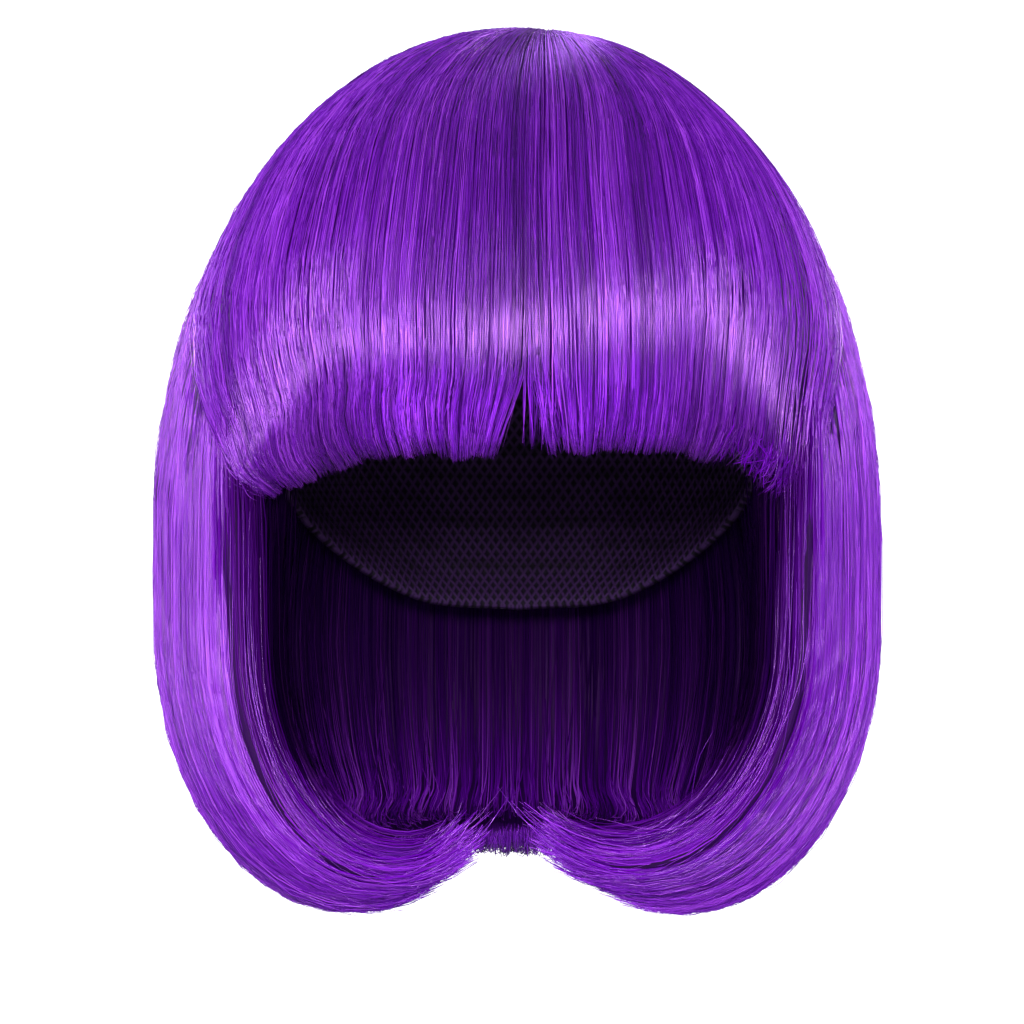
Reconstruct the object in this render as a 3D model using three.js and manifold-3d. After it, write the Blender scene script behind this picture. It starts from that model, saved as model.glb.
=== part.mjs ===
// A bob wig: a fitted cap that carries four sections of smooth, straight hair.
//
// Millimetres, +Z up. The face looks along -Y, so the wearer's left is +X.
// The origin is the middle of the head opening at the hat line, where the head goes in.
//
// All of the hair lies on one outline. Each path starts at the whorl on the crown, runs over
// the dome and falls past the ears, and its ends curl under. A path is named by its direction,
// in degrees round the whorl: 0 is the face, 90 the wearer's left ear, 180 the nape and 270 the
// right ear. A place on a path is its stage: 0 at the whorl, 1 at the foot of the dome and 2 at
// the cut ends.
import Module from "manifold-3d";
import * as THREE from "three";
import { mergeVertices } from "three/addons/utils/BufferGeometryUtils.js";

// The head that the cap is cut for
const HEAD_WIDTH = 156; // over the ears
const HEAD_LENGTH = 196; // brow to back
const HEAD_RISE = 100; // hat line to the top of the head

// The cap and the elastic band at its edge
const CAP_WALL = 1.5;
const BAND_WIDTH = 8;
const BAND_EXTRA = 0.8; // added to the cap's wall, on the inside

// How far the outline of the hair stands off the cap
const SIDE_FULLNESS = 29;
const FRONT_FULLNESS = 17;
const BACK_FULLNESS = 24;
const TOP_FULLNESS = 13;

// Lengths of the cut
const HAIR_DROP = 148; // hat line to the underside of the curls
const FRINGE_HANG = 25; // foot of the dome to the fringe's cut edge, in the middle
const SLIT_LENGTH = 28; // narrow parting up the middle of the fringe

// The whorl lies behind the middle of the crown and a little to the left
const WHORL_LEFT = 9;
const WHORL_BACK = 14;
const WHORL_RADIUS = 13; // rosette of hair roots

// Gaps between pieces
const SEAT_GAP = 0.9; // hair to cap, less where the facets cut a corner
const SEAM_GAP = 0.7; // one section of hair to the next

// Walls of hair, square to the outline
const FRINGE_WALL = 10;
const CURTAIN_WALL = 19;
const TIP_WALL = 3;
const LEAST_WALL = 2;

// Locks: soft ridges that run with the hair
const GROOVE_DEPTH = 2.4;
const CROWN_GROOVE = 0.6; // share of the groove's depth that is left at the whorl
const ROSETTE_CREST = 0.8; // height of the rosette's ridges, as a share of that
const TIP_NOTCH = 6; // how far the ends step back between two locks

const COLOURS = { hair: 0x6f1fb8, cap: 0x2a0b45 };

const halfWidth = HEAD_WIDTH / 2 + CAP_WALL + SIDE_FULLNESS;
const frontDepth = HEAD_LENGTH / 2 + CAP_WALL + FRONT_FULLNESS;
const backDepth = HEAD_LENGTH / 2 + CAP_WALL + BACK_FULLNESS;
const hairTop = HEAD_RISE + CAP_WALL + TOP_FULLNESS;

const DOME_POWER = 2.06; // above 2, the dome is squarer than an ellipse

// Height of the dome's foot, where the outline stands upright, as a share of HAIR_DROP
const DOME_FOOT = [
  { at: 0, level: 0.08 },
  { at: 30, level: 0.04 },
  { at: 60, level: -0.16 },
  { at: 90, level: -0.24 },
  { at: 130, level: -0.12 },
  { at: 180, level: 0.0 },
];

// The curl, round from the left face edge to the right one. curl and low are the heights where
// it begins and is lowest, as shares of HAIR_DROP. across and deep give the place of the ends,
// as shares of the half width and of the depth in front or behind. trim is how much shorter
// than the whole curl the hair is cut, as a share of HAIR_DROP.
const CURLS = [
  { at: 42, curl: -0.48, low: -0.83, across: 0.03, deep: -0.72, trim: 0.035 },
  { at: 60, curl: -0.46, low: -0.94, across: 0.08, deep: -0.66, trim: 0.12 },
  { at: 78, curl: -0.45, low: -1.0, across: 0.14, deep: -0.56, trim: 0.19 },
  { at: 100, curl: -0.44, low: -0.97, across: 0.27, deep: -0.24, trim: 0.175 },
  { at: 128, curl: -0.45, low: -0.94, across: 0.34, deep: 0.16, trim: 0.08 },
  { at: 155, curl: -0.48, low: -0.93, across: 0.25, deep: 0.42, trim: 0.04 },
  { at: 180, curl: -0.48, low: -0.92, across: 0.0, deep: 0.5, trim: 0.03 },
  { at: 205, curl: -0.48, low: -0.93, across: -0.25, deep: 0.42, trim: 0.04 },
  { at: 232, curl: -0.45, low: -0.94, across: -0.34, deep: 0.16, trim: 0.07 },
  { at: 260, curl: -0.44, low: -0.97, across: -0.27, deep: -0.24, trim: 0.12 },
  { at: 282, curl: -0.45, low: -1.0, across: -0.16, deep: -0.56, trim: 0.08 },
  { at: 300, curl: -0.47, low: -0.96, across: -0.12, deep: -0.66, trim: 0.02 },
  { at: 318, curl: -0.49, low: -0.91, across: -0.09, deep: -0.72, trim: 0.0 },
];
const CURL_TURN = 125; // degrees that the curl turns through
const CURL_STAGE = 1.3; // stage where it begins

// How far the fringe hangs below the dome's foot, as a share of FRINGE_HANG
const FRINGE_CUT = [
  { at: -48, hang: 0.52 },
  { at: -38, hang: 0.8 },
  { at: -30, hang: 0.89 },
  { at: 0, hang: 1.0 },
  { at: 22, hang: 0.88 },
  { at: 31, hang: 0.79 },
  { at: 39, hang: 0.56 },
  { at: 48, hang: 0.5 },
];
const FRINGE_TURN = 41; // degrees that the fringe turns in towards the brow
const FRINGE_TUCK = 0.3; // radius of that turn, as a share of frontDepth

// Direction of the seam between the fringe and the curtain at each stage. Below the dome's
// foot the two draw apart.
const DOME_SEAM = [
  { stage: 0.0, at: 84 },
  { stage: 0.45, at: 84 },
  { stage: 0.63, at: 80.5 },
  { stage: 0.73, at: 75 },
  { stage: 0.81, at: 67 },
  { stage: 0.9, at: 58.5 },
  { stage: 1.0, at: 51.5 },
];
const FRINGE_SEAM = [...DOME_SEAM, { stage: 2.0, at: 46.5 }];
const CURTAIN_SEAM = [...DOME_SEAM, { stage: 1.2, at: 49 }, { stage: 1.5, at: 47 }, { stage: 2.0, at: 46 }];
const BACK_SEAM = 128; // direction of the seam behind each ear
const FRINGE_SPREAD = 1.5; // above 1, the fringe's ends crowd towards its corners

// Wall of hair that hangs free of the head at each stage, as a share of the section's wall
const FRINGE_WALLS = [
  { stage: 0.0, wall: 4.0 },
  { stage: 0.75, wall: 3.0 },
  { stage: 1.0, wall: 1.1 },
  { stage: 1.5, wall: 0.7 },
  { stage: 2.0, wall: 0.0 },
];
const CURTAIN_WALLS = [
  { stage: 0.0, wall: 3.0 },
  { stage: 0.8, wall: 2.2 },
  { stage: 1.12, wall: 1.15 },
  { stage: 1.44, wall: 0.95 },
  { stage: 1.76, wall: 0.7 },
  { stage: 2.0, wall: 0.0 },
];
const EDGE_THIN = 0.5; // share of the wall that is left along a free edge
const EDGE_SHARE = 0.16; // share of a section's width over which it thins

// Locks of each section. wide is a share of the section, crest a share of GROOVE_DEPTH, and
// short how much of TIP_NOTCH the lock is shorter than the longest. The slit is no lock.
const FRINGE_LOCKS = [
  { wide: 0.9, crest: 0.9, short: 0.0 },
  { wide: 1.2, crest: 1.0, short: 0.3 },
  { wide: 0.8, crest: 0.7, short: 0.1 },
  { wide: 1.1, crest: 0.9, short: 0.4 },
  { wide: 0.8, crest: 0.8, short: 0.1 },
  { wide: 0.5, slit: true },
  { wide: 0.8, crest: 0.7, short: 0.2 },
  { wide: 1.2, crest: 1.0, short: 0.4 },
  { wide: 0.9, crest: 0.8, short: 0.0 },
  { wide: 1.0, crest: 1.0, short: 0.3 },
  { wide: 0.8, crest: 0.8, short: 0.0 },
];
const SIDE_LOCKS = [
  { wide: 0.7, crest: 0.8, short: 0.3 },
  { wide: 1.0, crest: 1.0, short: 0.0 },
  { wide: 0.8, crest: 0.7, short: 0.9 },
  { wide: 1.2, crest: 1.0, short: 0.2 },
  { wide: 0.9, crest: 0.8, short: 0.8 },
  { wide: 1.1, crest: 0.9, short: 0.0 },
  { wide: 1.0, crest: 0.8, short: 0.5 },
];
const BACK_LOCKS = [
  { wide: 1.0, crest: 0.9, short: 0.3 },
  { wide: 0.8, crest: 0.7, short: 0.8 },
  { wide: 1.2, crest: 1.0, short: 0.0 },
  { wide: 0.9, crest: 0.8, short: 0.6 },
  { wide: 1.1, crest: 0.9, short: 0.1 },
  { wide: 0.8, crest: 0.8, short: 0.6 },
  { wide: 1.1, crest: 1.0, short: 0.0 },
  { wide: 0.9, crest: 0.7, short: 0.8 },
  { wide: 1.2, crest: 1.0, short: 0.3 },
  { wide: 1.0, crest: 0.8, short: 0.5 },
];

// Edge of the cap: hairline, ear tabs, the cut over the ears and the nape, as shares of
// HEAD_RISE above the hat line
const CAP_EDGE = [
  { at: 0, height: 0.3 },
  { at: 35, height: 0.22 },
  { at: 58, height: -0.16 },
  { at: 68, height: -0.18 },
  { at: 92, height: 0.0 },
  { at: 120, height: -0.34 },
  { at: 150, height: -0.56 },
  { at: 180, height: -0.6 },
];

// How finely the faces are cut
const LOCK_STEPS = 4;
const SLIT_STEPS = 2;
const DOME_ROWS = 10;
const FRINGE_END_ROWS = 4;
const CURTAIN_END_ROWS = 8;
const ROSETTE_COLUMNS = 24;
const ROSETTE_ROWS = 2;
const CAP_COLUMNS = 36;
const CAP_ROWS = 7;

const radians = THREE.MathUtils.degToRad;
const { lerp, smoothstep } = THREE.MathUtils;

// One column of a table at a place between its rows, on a smooth curve through them
function along(table, key, column, place) {
  const last = table.length - 1;
  if (place <= table[0][key]) return table[0][column];
  if (place >= table[last][key]) return table[last][column];
  const i = table.findIndex((row) => row[key] > place) - 1;
  const slope = (k) => {
    const before = table[Math.max(k - 1, 0)];
    const after = table[Math.min(k + 1, last)];
    return (after[column] - before[column]) / (after[key] - before[key]);
  };
  const span = table[i + 1][key] - table[i][key];
  const f = (place - table[i][key]) / span;
  const g = 1 - f;
  return (
    table[i][column] * g * g * (1 + 2 * f) +
    table[i + 1][column] * f * f * (1 + 2 * g) +
    span * f * g * (slope(i) * g - slope(i + 1) * f)
  );
}

// A direction as -180 to 180, with the face at 0
function fromFace(direction) {
  return ((((direction + 180) % 360) + 360) % 360) - 180;
}

// A point of the outline at a share of its full radius and a height
function onPlan(direction, radius, height) {
  const turn = radians(direction);
  const depth = Math.cos(turn) > 0 ? frontDepth : backDepth;
  return new THREE.Vector3(halfWidth * radius * Math.sin(turn), -depth * radius * Math.cos(turn), height);
}

function footHeight(direction) {
  return HAIR_DROP * along(DOME_FOOT, "at", "level", Math.abs(fromFace(direction)));
}

// Height of the dome over a place in plan
function domeHeight(x, y) {
  const across = x / halfWidth;
  const back = y / (y < 0 ? frontDepth : backDepth);
  const foot = footHeight(THREE.MathUtils.radToDeg(Math.atan2(across, -back)));
  const rise = Math.max(1 - Math.hypot(across, back) ** DOME_POWER, 0) ** (1 / DOME_POWER);
  return foot + (hairTop - foot) * rise;
}

function domePoint(direction, stage) {
  const radius = Math.sin(radians(90 * stage));
  const point = onPlan(direction, radius, 0);
  const shift = (1 - radius) ** 2;
  point.x += WHORL_LEFT * shift;
  point.y += WHORL_BACK * shift;
  return point.setZ(domeHeight(point.x, point.y));
}

// The fringe leaves the dome's foot and turns in towards the brow
function fringePoint(direction, stage) {
  if (stage <= 1) return domePoint(direction, stage);
  const turn = radians(FRINGE_TURN * (stage - 1));
  const hang = FRINGE_HANG * along(FRINGE_CUT, "at", "hang", fromFace(direction));
  const radius = 1 - FRINGE_TUCK * (1 - Math.cos(turn));
  const drop = (hang * Math.sin(turn)) / Math.sin(radians(FRINGE_TURN));
  return onPlan(direction, radius, footHeight(direction) - drop);
}

// The curtain falls upright from the dome's foot and then curls under
function curtainPoint(direction, stage) {
  if (stage <= 1) return domePoint(direction, stage);
  const curl = HAIR_DROP * along(CURLS, "at", "curl", direction);
  const fall = Math.min((stage - 1) / (CURL_STAGE - 1), 1);
  const start = onPlan(direction, 1, lerp(footHeight(direction), curl, fall));
  if (stage <= CURL_STAGE) return start;
  const turn = radians((CURL_TURN * (stage - CURL_STAGE)) / (2 - CURL_STAGE));
  const low = HAIR_DROP * along(CURLS, "at", "low", direction);
  const across = halfWidth * along(CURLS, "at", "across", direction);
  const deep = along(CURLS, "at", "deep", direction);
  const end = new THREE.Vector3(across, deep * (deep < 0 ? frontDepth : backDepth), curl);
  const swing = (1 - Math.cos(turn)) / (1 - Math.cos(radians(CURL_TURN)));
  return start.lerp(end, swing).setZ(curl + (low - curl) * Math.sin(turn));
}

// Outward direction of a surface of hair
function outward(surface, direction, stage) {
  const step = 0.01;
  const turnStep = 0.5;
  const place = THREE.MathUtils.clamp(stage, 2 * step, 2 - step);
  const down = surface(direction, place + step).sub(surface(direction, place - step));
  const round = surface(direction + turnStep, place).sub(surface(direction - turnStep, place));
  return down.cross(round).normalize();
}

// Distance from a point, against its outward direction, to what lies over the cap
function depthToCap(point, out) {
  const fit = CAP_WALL + SEAT_GAP;
  const size = new THREE.Vector3(HEAD_WIDTH / 2 + fit, HEAD_LENGTH / 2 + fit, HEAD_RISE + fit);
  const place = point.clone().divide(size);
  const way = out.clone().divide(size);
  const half = place.dot(way) / way.lengthSq();
  const square = half * half - (place.lengthSq() - 1) / way.lengthSq();
  return square > 0 ? half - Math.sqrt(square) : Infinity;
}

function grooveDepth(stage) {
  return GROOVE_DEPTH * lerp(CROWN_GROOVE, 1, smoothstep(stage, 0, 1));
}

// Length of a path below the dome's foot
function endLength(surface, direction) {
  const steps = 12;
  let length = 0;
  for (let k = 0; k < steps; k++) {
    const from = surface(direction, 1 + k / steps);
    length += from.distanceTo(surface(direction, 1 + (k + 1) / steps));
  }
  return length;
}

// Columns across a section: at is its share of the section's width, crest its height above the
// groove and short how far it ends before the longest hair, in millimetres
function columnsOf(locks) {
  const total = locks.reduce((sum, lock) => sum + lock.wide, 0);
  const columns = [];
  let start = 0;
  locks.forEach((lock, i) => {
    const steps = lock.slit ? SLIT_STEPS : LOCK_STEPS;
    for (let k = i === 0 ? 0 : 1; k <= steps; k++) {
      const part = k / steps;
      const bow = Math.sin(Math.PI * part) ** 0.7;
      const at = (start + part * lock.wide) / total;
      const short = lock.slit && k < steps ? SLIT_LENGTH : TIP_NOTCH * (1 - bow * (1 - (lock.short ?? 0)));
      columns.push({ at, crest: k < steps ? bow * (lock.crest ?? 0) : 0, short });
    }
    start += lock.wide;
  });
  return columns;
}

// Outside and inside points of one place in a section of hair. wallStage is the stage that the
// wall's thickness is taken at, which is further on where the ends are trimmed.
function hairPlace(section, column, direction, stage, wallStage = stage) {
  const out = outward(section.surface, direction, stage);
  const outline = section.surface(direction, stage);
  const groove = grooveDepth(stage);
  const outside = outline.clone().addScaledVector(out, -groove * (1 - column.crest));
  const nearEdge = smoothstep(section.freeEdge(column.at) / EDGE_SHARE, 0, 1);
  const share = lerp(EDGE_THIN, 1, nearEdge) * along(section.walls, "stage", "wall", wallStage);
  const free = TIP_WALL + groove + section.wall * share;
  const wall = Math.max(Math.min(free, depthToCap(outline, out)), groove + LEAST_WALL);
  return { outside, inside: outline.clone().addScaledVector(out, -wall) };
}

// A closed body between the outside and the inside of a patch: both faces, and a wall along
// each edge that only one triangle uses
function thickPatch(places, triangles) {
  const count = places.length;
  const points = [...places.map((p) => p.outside), ...places.map((p) => p.inside)];
  const faces = [];
  const edges = new Map();
  triangles.forEach(([a, b, c]) => {
    faces.push(a, b, c, a + count, c + count, b + count);
    [[a, b], [b, c], [c, a]].forEach(([from, to]) => edges.set(`${from},${to}`, [from, to]));
  });
  edges.forEach(([from, to]) => {
    if (edges.has(`${to},${from}`)) return;
    if (from < to) faces.push(from, to + count, to, from, from + count, to + count);
    else faces.push(to, from, from + count, to, from + count, to + count);
  });
  const geometry = new THREE.BufferGeometry().setFromPoints(points);
  geometry.setIndex(faces);
  geometry.computeVertexNormals();
  return geometry;
}

// Triangles of a grid of places, stored column by column from a first index
function gridTriangles(columns, rows, closed, first) {
  const triangles = [];
  for (let i = 0; i < (closed ? columns : columns - 1); i++) {
    for (let j = 0; j < rows - 1; j++) {
      const a = first + i * rows + j;
      const b = first + ((i + 1) % columns) * rows + j;
      triangles.push([a, a + 1, b], [b, a + 1, b + 1]);
    }
  }
  return triangles;
}

// Triangles of a round patch: its middle is index 0, and closed rings follow
function roundTriangles(columns, rows) {
  const triangles = gridTriangles(columns, rows, true, 1);
  for (let i = 0; i < columns; i++) {
    triangles.push([0, 1 + i * rows, 1 + ((i + 1) % columns) * rows]);
  }
  return triangles;
}

// Stage at which a path has gone a distance from the whorl
function stageAt(distance) {
  return (2 * distance) / (Math.PI * halfWidth);
}

// Angle that takes half of a seam's gap
function seamAngle(surface, direction, stage) {
  const radius = surface(direction, stage).sub(surface(direction, 0)).setZ(0).length();
  return THREE.MathUtils.radToDeg(SEAM_GAP / 2 / Math.max(radius, WHORL_RADIUS));
}

function sectionGeometry(section) {
  const columns = columnsOf(section.locks);
  const places = [];
  const rows = DOME_ROWS + section.endRows;
  columns.forEach((column) => {
    const tip = section.lay(column.at, 2);
    const length = endLength(section.surface, tip);
    const trim = section.trim(tip) / length;
    const reach = 2 - trim - column.short / length;
    for (let j = 0; j <= rows; j++) {
      const down = Math.max((j - DOME_ROWS) / section.endRows, 0);
      const stage = down > 0 ? lerp(1, reach, down) : lerp(section.firstStage, 1, j / DOME_ROWS);
      places.push(hairPlace(section, column, section.lay(column.at, stage), stage, stage + trim * down));
    }
  });
  return thickPatch(places, gridTriangles(columns.length, rows + 1, false, 0));
}

// Round cover over the whorl, where all the paths start, with a ridge on every other column
function rosetteGeometry() {
  const places = [hairPlace(back, { at: 0.5, crest: ROSETTE_CREST }, 0, 0)];
  for (let i = 0; i < ROSETTE_COLUMNS; i++) {
    const column = { at: 0.5, crest: i % 2 ? ROSETTE_CREST : 0 };
    for (let j = 1; j <= ROSETTE_ROWS; j++) {
      const stage = stageAt((WHORL_RADIUS * j) / ROSETTE_ROWS);
      places.push(hairPlace(back, column, (360 * i) / ROSETTE_COLUMNS, stage));
    }
  }
  return thickPatch(places, roundTriangles(ROSETTE_COLUMNS, ROSETTE_ROWS));
}

// Where each section's paths lie: at is 0 to 1 across it
function layFringe(at, stage) {
  const side = 2 * at - 1;
  const edge = along(FRINGE_SEAM, "stage", "at", stage);
  const spread = lerp(1, FRINGE_SPREAD, smoothstep(stage, 0.45, 1.5));
  const share = 1 - (1 - Math.abs(side)) ** spread;
  return Math.sign(side) * edge * share - side * seamAngle(fringePoint, edge, stage);
}

function layLeft(at, stage) {
  const edge = along(CURTAIN_SEAM, "stage", "at", stage);
  const gap = seamAngle(curtainPoint, edge, stage);
  return lerp(edge + gap, BACK_SEAM - gap, at);
}

function layRight(at, stage) {
  return 360 - layLeft(1 - at, stage);
}

function layBack(at, stage) {
  const gap = seamAngle(curtainPoint, BACK_SEAM, stage);
  return lerp(BACK_SEAM + gap, 360 - BACK_SEAM - gap, at);
}

const fringe = {
  surface: fringePoint,
  lay: layFringe,
  locks: FRINGE_LOCKS,
  endRows: FRINGE_END_ROWS,
  firstStage: stageAt(WHORL_RADIUS + SEAM_GAP),
  wall: FRINGE_WALL,
  walls: FRINGE_WALLS,
  trim: () => 0,
  freeEdge: (at) => Math.min(at, 1 - at),
};
const curtain = {
  surface: curtainPoint,
  endRows: CURTAIN_END_ROWS,
  firstStage: stageAt(WHORL_RADIUS + SEAM_GAP),
  wall: CURTAIN_WALL,
  walls: CURTAIN_WALLS,
  trim: (direction) => HAIR_DROP * along(CURLS, "at", "trim", direction),
};
const leftSide = { ...curtain, lay: layLeft, locks: SIDE_LOCKS, freeEdge: (at) => at };
const rightLocks = [...SIDE_LOCKS].reverse();
const rightSide = { ...curtain, lay: layRight, locks: rightLocks, freeEdge: (at) => 1 - at };
const back = {
  ...curtain,
  lay: layBack,
  locks: BACK_LOCKS,
  firstStage: stageAt(WHORL_RADIUS * 0.8),
  freeEdge: () => 1,
};

// A point of the head's ellipsoid, grown by a distance
function headPoint(direction, turn, grow) {
  const side = radians(direction);
  return new THREE.Vector3(
    (HEAD_WIDTH / 2 + grow) * Math.sin(turn) * Math.sin(side),
    -(HEAD_LENGTH / 2 + grow) * Math.sin(turn) * Math.cos(side),
    (HEAD_RISE + grow) * Math.cos(turn),
  );
}

// The net from crown to edge, with the band as a step on its inside
function capGeometry() {
  const band = BAND_WIDTH / HEAD_RISE;
  const places = [{ outside: headPoint(0, 0, CAP_WALL), inside: headPoint(0, 0, 0) }];
  for (let i = 0; i < CAP_COLUMNS; i++) {
    const direction = (360 * i) / CAP_COLUMNS;
    const edge = Math.acos(along(CAP_EDGE, "at", "height", Math.abs(fromFace(direction))));
    for (let j = 1; j <= CAP_ROWS; j++) {
      const turn = ((edge - 1.2 * band) * j) / CAP_ROWS;
      places.push({ outside: headPoint(direction, turn, CAP_WALL), inside: headPoint(direction, turn, 0) });
    }
    [edge - band, edge].forEach((turn) => {
      const inside = headPoint(direction, turn, -BAND_EXTRA);
      places.push({ outside: headPoint(direction, turn, CAP_WALL), inside });
    });
  }
  return thickPatch(places, roundTriangles(CAP_COLUMNS, CAP_ROWS + 2));
}

const wasm = await Module();
wasm.setup();

function asSolid(geometry) {
  const bare = geometry.clone();
  bare.deleteAttribute("normal");
  const merged = mergeVertices(bare, 1e-4);
  const vertProperties = new Float32Array(merged.attributes.position.array);
  const triVerts = new Uint32Array(merged.index.array);
  return new wasm.Manifold(new wasm.Mesh({ numProp: 3, vertProperties, triVerts }));
}

function joined(one, other) {
  const mesh = asSolid(one).add(asSolid(other)).getMesh();
  const geometry = new THREE.BufferGeometry();
  geometry.setAttribute("position", new THREE.BufferAttribute(mesh.vertProperties, 3));
  geometry.setIndex(new THREE.BufferAttribute(mesh.triVerts, 1));
  geometry.computeVertexNormals();
  return geometry;
}

function named(name, geometry, color, roughness) {
  const mesh = new THREE.Mesh(geometry, new THREE.MeshStandardMaterial({ color, roughness, metalness: 0 }));
  mesh.name = name;
  return mesh;
}

const wig = new THREE.Group();
wig.add(named("cap", capGeometry(), COLOURS.cap, 0.9));
wig.add(named("fringe", sectionGeometry(fringe), COLOURS.hair, 0.4));
wig.add(named("side_hair_left", sectionGeometry(leftSide), COLOURS.hair, 0.4));
wig.add(named("side_hair_right", sectionGeometry(rightSide), COLOURS.hair, 0.4));
wig.add(named("back_hair", joined(sectionGeometry(back), rosetteGeometry()), COLOURS.hair, 0.4));

export default wig;
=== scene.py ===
"""The bob wig: strands of hair laid over the solid model, the cap that carries them, and the studio.

Metres, +Z up. The face looks along -Y, and the wearer's left is +X. All of the hair lies on one
outline. A path down it is named by its direction round the whorl, in degrees: 0 is the face and
90 the wearer's left ear. A place on a path is its stage: 0 at the whorl, 1 at the foot of the
dome and 2 at the cut ends.
"""

import math

import bpy
import numpy as np
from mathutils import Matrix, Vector


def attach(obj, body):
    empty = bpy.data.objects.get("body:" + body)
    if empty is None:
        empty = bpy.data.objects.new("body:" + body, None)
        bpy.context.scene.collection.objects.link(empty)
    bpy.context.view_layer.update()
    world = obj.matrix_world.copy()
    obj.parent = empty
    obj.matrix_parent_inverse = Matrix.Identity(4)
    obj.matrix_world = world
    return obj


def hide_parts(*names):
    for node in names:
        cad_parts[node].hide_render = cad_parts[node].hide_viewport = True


bl_info = {
    "name": "Bob wig",
    "version": (1, 0, 0),
    "blender": (4, 5, 0),
    "location": "3D View > Sidebar > Wig",
    "description": "Dresses the bob wig with strands of hair and its cap",
    "category": "Add Mesh",
}

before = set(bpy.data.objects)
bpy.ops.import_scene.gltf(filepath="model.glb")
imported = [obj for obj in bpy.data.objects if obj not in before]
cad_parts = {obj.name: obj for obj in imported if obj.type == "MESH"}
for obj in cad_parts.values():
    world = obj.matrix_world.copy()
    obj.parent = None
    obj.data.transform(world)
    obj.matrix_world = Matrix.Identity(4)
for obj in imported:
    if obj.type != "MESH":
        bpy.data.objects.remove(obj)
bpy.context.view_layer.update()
MM = 0.001

# Height of the dome's foot at each direction, as a share of the hair's drop
DOME_FOOT = {
    "at": (0, 30, 60, 90, 130, 180),
    "level": (0.08, 0.04, -0.16, -0.24, -0.12, 0.0),
}

# The curl from the left face edge round to the right one: heights where it begins and is
# lowest, as shares of the drop, the place of the ends, as shares of the reaches, and how much
# the ends are trimmed, as a share of the drop
CURLS = {
    "at": (42, 60, 78, 100, 128, 155, 180, 205, 232, 260, 282, 300, 318),
    "curl": (-0.48, -0.46, -0.45, -0.44, -0.45, -0.48, -0.48, -0.48, -0.45, -0.44, -0.45, -0.47, -0.49),
    "low": (-0.88, -0.95, -1.0, -0.97, -0.94, -0.93, -0.92, -0.93, -0.94, -0.97, -1.0, -0.96, -0.91),
    "across": (0.0, 0.06, 0.14, 0.27, 0.34, 0.25, 0.0, -0.25, -0.34, -0.27, -0.16, -0.12, -0.09),
    "deep": (-0.72, -0.66, -0.56, -0.24, 0.16, 0.42, 0.5, 0.42, 0.16, -0.24, -0.56, -0.66, -0.72),
    "trim": (0.0, 0.05, 0.13, 0.16, 0.08, 0.04, 0.03, 0.04, 0.07, 0.12, 0.08, 0.02, 0.0),
}
CURL_TURN = 125
CURL_STAGE = 1.3

# The fringe below the dome's foot: how far it hangs at each direction, as a share of its hang in
# the middle, its turn inwards in degrees, how far that draws it in, as a share of the reaches,
# and how far it is pulled in besides, in millimetres
FRINGE_CUT = {
    "at": (-48, -38, -30, 0, 22, 31, 39, 48, 60),
    "hang": (0.52, 0.8, 0.89, 1.0, 0.88, 0.79, 0.6, 0.55, 0.45),
}
FRINGE_TURN = 41
FRINGE_TUCK = 0.3
FRINGE_PULL = {
    "at": (-50, -42, -34, -20, -10, 0, 10, 20, 30, 38, 44, 50, 60),
    "pull": (1.6, 3.6, 4.4, 2.4, 1.0, 0.0, 1.0, 2.4, 4.2, 5.0, 4.8, 3.0, 1.0),
}

# Direction of the seam between the fringe and the curtain at each stage
FRINGE_SEAM = {
    "stage": (0.0, 0.45, 0.63, 0.73, 0.81, 0.9, 1.0, 2.0),
    "at": (84, 84, 80.5, 75, 67, 58.5, 51.5, 46.5),
}
CURTAIN_SEAM = {
    "stage": (0.0, 0.45, 0.63, 0.73, 0.81, 0.9, 1.0, 1.2, 1.5, 2.0),
    "at": (84, 84, 80.5, 75, 67, 58.5, 51.5, 49, 47, 46),
}
BACK_SEAM = 128

# How the fringe's paths crowd towards its edges at each stage, and how far its right and left
# corners reach, as a share of the seam's direction
FRINGE_SPREAD = {
    "stage": (0.0, 0.35, 0.7, 1.0, 1.5, 2.0),
    "spread": (1.0, 1.0, 0.87, 1.32, 1.5, 1.5),
}
FRINGE_CORNERS = (1.03, 1.0)

# The head that the cap is made for, as half its width, half its length and its rise, the wall
# of the cap, the gap between cap and hair, the cap's band and sewn rows, and the height of its
# edge as a share of the rise
HEAD = (0.078, 0.098, 0.1)
CAP_WALL = 1.5 * MM
SEAT_GAP = 0.9 * MM
BAND_HEIGHT = 8 * MM
ROW_SPACING = 7.5 * MM
CAP_EDGE = {
    "at": (0, 35, 58, 68, 92, 120, 150, 180),
    "height": (0.3, 0.22, -0.16, -0.18, 0.0, -0.34, -0.56, -0.6),
}

# Free wall of hair at each stage, as a share of the section's wall
FRINGE_WALLS = {"stage": (0.0, 0.75, 1.0, 1.5, 2.0), "wall": (4.0, 3.0, 1.1, 0.7, 0.0)}
CURTAIN_WALLS = {
    "stage": (0.0, 0.8, 1.12, 1.44, 1.76, 2.0),
    "wall": (3.0, 2.2, 1.15, 0.95, 0.7, 0.0),
}

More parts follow.
